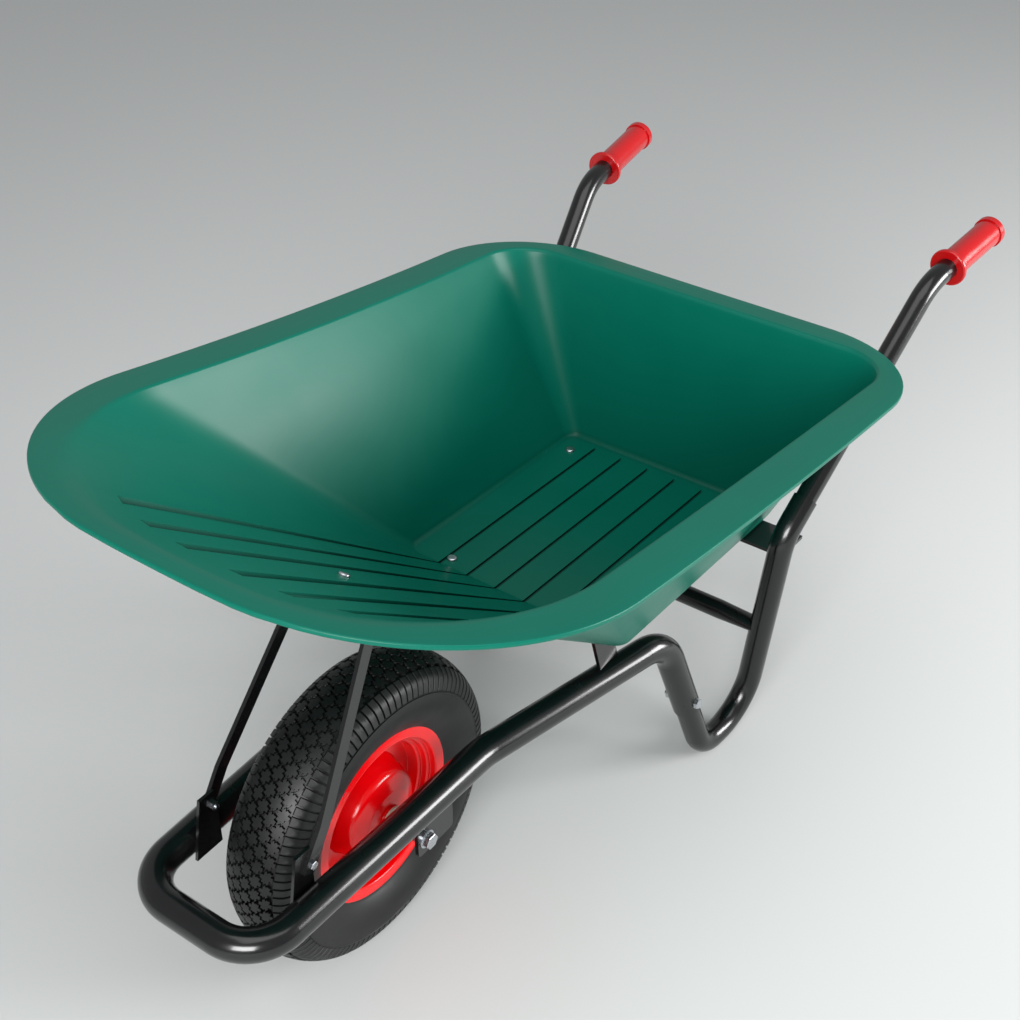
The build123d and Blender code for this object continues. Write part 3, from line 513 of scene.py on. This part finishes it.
# Tyre, in millimetres round the axle: crown blocks in a puzzle pattern, slotted shoulders, smooth sidewalls.
# Points are (radius, side). The ridge is written as steps along the profile and lifts off it.
tyre = {
    "radius": 200, "crownRadius": 71.28, "shoulder": (184, 45), "widest": (149.56, 51), "lip": (115.16, 37.1),
    "bead": (101.2, 34.9), "toe": (101.2, 24), "bevel": 0.6,
    "ridgeRadius": 165, "ridge": ((-1.2, -1), (-0.4, -1), (0, 0.5), (0.9, 0.5), (1.3, 0)),
    "blockCount": 64, "blockRows": 5, "rowPitch": 13.4, "blockGap": 0.82, "zigzag": 1.9, "blockDepth": 4.2,
    "blockJogs": ((0, 0), (0.2, 0.2), (0.3, 1), (0.42, 1), (0.58, -1), (0.7, -1), (0.8, -0.2)),
    "blockTaper": (1.03, 1, 0.955, 0.5), "lugCount": 104, "lugStart": 35.5, "lugStop": 1.6, "lugGap": 2.3,
    "lugDepth": 2.6, "lugStagger": 0.25, "lugTaper": (1.02, 1, 0.93, 0.45),
    "creaseDegrees": 35, "blockCreaseDegrees": 30,
}
tyreSteps = {
    "crown": 60, "side": 80, "softenFrom": 40, "softenTo": 84, "softenPasses": 60,
    "base": 9, "slots": 8, "sidewall": 16, "turns": 192, "lug": 10,
}


def circleThrough(a, b, c):
    # Centre of the circle through three points of the profile.
    d = 2 * (a[0] * (b[1] - c[1]) + b[0] * (c[1] - a[1]) + c[0] * (a[1] - b[1]))
    squares = [p[0] ** 2 + p[1] ** 2 for p in (a, b, c)]
    x = (squares[0] * (b[1] - c[1]) + squares[1] * (c[1] - a[1]) + squares[2] * (a[1] - b[1])) / d
    y = (squares[0] * (c[0] - b[0]) + squares[1] * (a[0] - c[0]) + squares[2] * (b[0] - a[0])) / d
    return x, y


def halfProfile():
    # The tyre's outer line from the middle of the crown to the rim's edge, with its lengths.
    crownRadius, shoulder, lip = tyre["crownRadius"], tyre["shoulder"], tyre["lip"]
    crownCentre = tyre["radius"] - crownRadius
    lastAngle = asin(shoulder[1] / crownRadius)
    line = []
    for step in range(tyreSteps["crown"] + 1):
        angle = lastAngle * step / tyreSteps["crown"]
        line.append((crownCentre + crownRadius * cos(angle), crownRadius * sin(angle)))
    centre = circleThrough(shoulder, tyre["widest"], lip)
    size = sqrt((lip[0] - centre[0]) ** 2 + (lip[1] - centre[1]) ** 2)
    first = atan2(shoulder[1] - centre[1], shoulder[0] - centre[0])
    last = atan2(lip[1] - centre[1], lip[0] - centre[0])
    for step in range(1, tyreSteps["side"] + 1):
        angle = first + (last - first) * step / tyreSteps["side"]
        line.append((centre[0] + size * cos(angle), centre[1] + size * sin(angle)))
    for _ in range(tyreSteps["softenPasses"]):  # soften the shoulder's corner
        for index in range(tyreSteps["softenFrom"], tyreSteps["softenTo"]):
            line[index] = tuple(
                (line[index - 1][k] + 2 * line[index][k] + line[index + 1][k]) / 4 for k in (0, 1)
            )
    lengths = [0.0]
    for a, b in zip(line, line[1:]):
        lengths.append(lengths[-1] + sqrt((b[0] - a[0]) ** 2 + (b[1] - a[1]) ** 2))
    return line, lengths


profile, profileLengths = halfProfile()
ridgeAt = next(s for p, s in zip(profile, profileLengths) if p[0] < tyre["ridgeRadius"])
ridge = [(ridgeAt + along, lift) for along, lift in tyre["ridge"]]


def onProfile(distance, lift):
    # A point on the outer line at that distance from the crown's middle, lifted off the surface.
    far = abs(distance)
    index = 1
    while index < len(profile) - 1 and profileLengths[index] < far:
        index += 1
    a, b = profile[index - 1], profile[index]
    share = (far - profileLengths[index - 1]) / (profileLengths[index] - profileLengths[index - 1])
    run = Vector((b[0] - a[0], b[1] - a[1])).normalized()
    radius = a[0] + (b[0] - a[0]) * share + run.y * lift
    side = a[1] + (b[1] - a[1]) * share - run.x * lift
    return radius, side if distance >= 0 else -side


def roundAxle(angle, radius, side):
    return axle + Vector((radius * cos(angle), side, radius * sin(angle))) * mm


def lathe(line, turns):
    # Turns a closed line about the axle.
    points = []
    faces = []
    count = len(line)
    for step in range(turns):
        points += [roundAxle(2 * pi * step / turns, *place) for place in line]
        low, high = step * count, (step + 1) % turns * count
        for index in range(count):
            following = (index + 1) % count
            faces.append((low + index, low + following, high + following, high + index))
    return points, faces


def evenly(start, end, count):
    return [start + (end - start) * step / count for step in range(count + 1)]


def carcassLine():
    # The lowered base between the blocks and lugs, rising to the smooth sidewall at a fine ridge.
    lugStart = tyre["lugStart"]
    marks = [(s, -tyre["blockDepth"]) for s in evenly(0, lugStart, tyreSteps["base"])]
    marks += [
        (s, -tyre["lugDepth"]) for s in evenly(lugStart, ridgeAt - tyre["lugStop"], tyreSteps["slots"])
    ]
    marks += ridge
    marks += [(s, 0) for s in evenly(ridge[-1][0], profileLengths[-1], tyreSteps["sidewall"])[1:]]
    half = [onProfile(s, lift) for s, lift in marks]
    half += [tyre["bead"], tyre["toe"]]
    return half + [(r, -y) for r, y in reversed(half[1:])]


def makeCarcass():
    points, faces = lathe(carcassLine(), tyreSteps["turns"])
    makePiece("tyreCarcass", points, faces, "tyre_rubber", "wheel", ["tyre"], tyre["creaseDegrees"])


def blockOutline(pitch, rows):
    # One puzzle block: a six-sided cell whose edges jog out and back, so that neighbours interlock.
    half = pitch / 2
    tip = rows / 2 + pitch ** 2 / (8 * rows)
    flank = rows / 2 - pitch ** 2 / (8 * rows)
    cell = [(0, tip), (-half, flank), (-half, -flank), (0, -tip), (half, -flank), (half, flank)]
    outline = []
    for start, end in zip(cell, cell[1:] + cell[:1]):
        run = Vector(end) - Vector(start)
        aside = Vector((run.y, -run.x)).normalized() * tyre["zigzag"]
        outline += [tuple(Vector(start) + run * share + aside * jog) for share, jog in tyre["blockJogs"]]
    return outline


def addRaised(points, faces, outline, taper, depth, angle, radius, centre):
    # A raised block from its outline: a wall, a small bevel and a top that follows the tyre.
    start = len(points)
    count = len(outline)
    for scale, lift in zip(taper, (-depth, -tyre["bevel"], 0, 0)):
        for x, y in outline:
            place = onProfile(centre + y * scale, lift)
            points.append(roundAxle(angle + x * scale / radius, *place))
    points.append(roundAxle(angle, *onProfile(centre, 0)))
    faces += gridFaces(len(taper), count, True, start)
    top = start + (len(taper) - 1) * count
    faces += [(top + index, top + (index + 1) % count, len(points) - 1) for index in range(count)]


def makeBlocks():
    points, faces = [], []
    radius = tyre["radius"]
    step = 2 * pi / tyre["blockCount"]
    outline = blockOutline(step * radius, tyre["rowPitch"])
    taper = [tyre["blockGap"] * scale for scale in tyre["blockTaper"]]
    for row in range(tyre["blockRows"]):
        centre = (row - (tyre["blockRows"] - 1) / 2) * tyre["rowPitch"]
        for index in range(tyre["blockCount"]):
            angle = (index + row % 2 / 2) * step
            addRaised(points, faces, outline, taper, tyre["blockDepth"], angle, radius, centre)
    makePiece("treadBlocks", points, faces, "tyre_rubber", "wheel", [], tyre["blockCreaseDegrees"])


def makeLugs():
    points, faces = [], []
    step = 2 * pi / tyre["lugCount"]
    lugStart, lugEnd = tyre["lugStart"], ridge[0][0]
    middle = (lugStart + lugEnd) / 2
    half = (lugEnd - lugStart) / 2
    meanRadius = onProfile(middle, 0)[0]
    width = step * meanRadius - tyre["lugGap"]
    ends = evenly(half, -half, tyreSteps["lug"])
    outline = [(-width / 2, y) for y in ends] + [(width / 2, y) for y in reversed(ends)]
    for side in (-1, 1):
        sided = [(x, side * y) for x, y in outline]
        for index in range(tyre["lugCount"]):
            angle = (index + tyre["lugStagger"] * side) * step
            addRaised(
                points, faces, sided, tyre["lugTaper"], tyre["lugDepth"], angle, meanRadius, side * middle
            )
    makePiece("shoulderLugs", points, faces, "tyre_rubber", "wheel", [], tyre["blockCreaseDegrees"])


makeCarcass()
makeBlocks()
makeLugs()
print("tyre made")

# The frame's own solids that keep their shape get their finish here
for entry in frame["record"]["subparts"]:
    node = nodes[entry["node"]]
    node.data.materials.clear()
    node.data.materials.append(finishes[entry["material_slot"]])
print("finishes put on the solids")

# Stage: a pale paper floor under an even sky, lit by three soft boxes
stage = {
    "floor": "#C6C8C7", "floorSize": 60, "floorRoughness": 0.85, "world": "#E8EAEC", "worldStrength": 0.48,
}
lamps = [
    {"name": "topBox", "place": (0.4, 0.5, 3.0), "aim": (0, 0, 0.4), "size": (2.6, 2.2), "watts": 30},
    {"name": "leftBox", "place": (-1.7, 2.7, 1.1), "aim": (0, 0, 0.5), "size": (1.7, 1.0), "watts": 112},
    {"name": "frontBox", "place": (2.9, 1.2, 1.65), "aim": (-0.2, 0, 0.4), "size": (1.6, 1.2), "watts": 108},
]
# The photo's viewpoint, fitted to the wheel, the rails and the rim
view = {
    "fromAxleMm": (946.0, 904.0, 1589.1), "heading": (-0.6534, -0.4714, -0.5923),
    "lensMm": 54.62, "sensorMm": 36,
}


def aimed(thing, place, aim):
    thing.location = place
    thing.rotation_euler = (Vector(aim) - Vector(place)).to_track_quat("-Z", "Y").to_euler()


def makeFloor():
    half = stage["floorSize"] / 2
    corners = [(-half, -half, 0), (half, -half, 0), (half, half, 0), (-half, half, 0)]
    mesh = bpy.data.meshes.new("studioFloor")
    mesh.from_pydata(corners, [], [(0, 1, 2, 3)])
    floor = addToScene("studioFloor", mesh)
    values = {"Base Color": linear(stage["floor"]), "Roughness": stage["floorRoughness"]}
    material, _, _ = startMaterial("paleStudioPaper", values)
    mesh.materials.append(material)


def makeWorld():
    world = bpy.data.worlds.new("studio")
    bpy.context.scene.world = world
    world.use_nodes = True
    background = world.node_tree.nodes["Background"]
    background.inputs["Color"].default_value = linear(stage["world"])
    background.inputs["Strength"].default_value = stage["worldStrength"]


def makeLamps():
    for lamp in lamps:
        light = bpy.data.lights.new(lamp["name"], "AREA")
        light.shape = "RECTANGLE"
        light.size, light.size_y = lamp["size"]
        light.energy = lamp["watts"]
        aimed(addToScene(lamp["name"], light), lamp["place"], lamp["aim"])


def makeCamera():
    camera = bpy.data.cameras.new("photoView")
    camera.lens = view["lensMm"]
    camera.sensor_width = view["sensorMm"]
    camera.dof.use_dof = False
    holder = addToScene("photoView", camera)
    place = Vector((axle.x, 0, 0)) + Vector(view["fromAxleMm"]) * mm
    aimed(holder, place, place + Vector(view["heading"]))
    bpy.context.scene.camera = holder


makeFloor()
makeWorld()
makeLamps()
makeCamera()
bpy.context.scene.view_settings.view_transform = "Standard"
print("stage set")
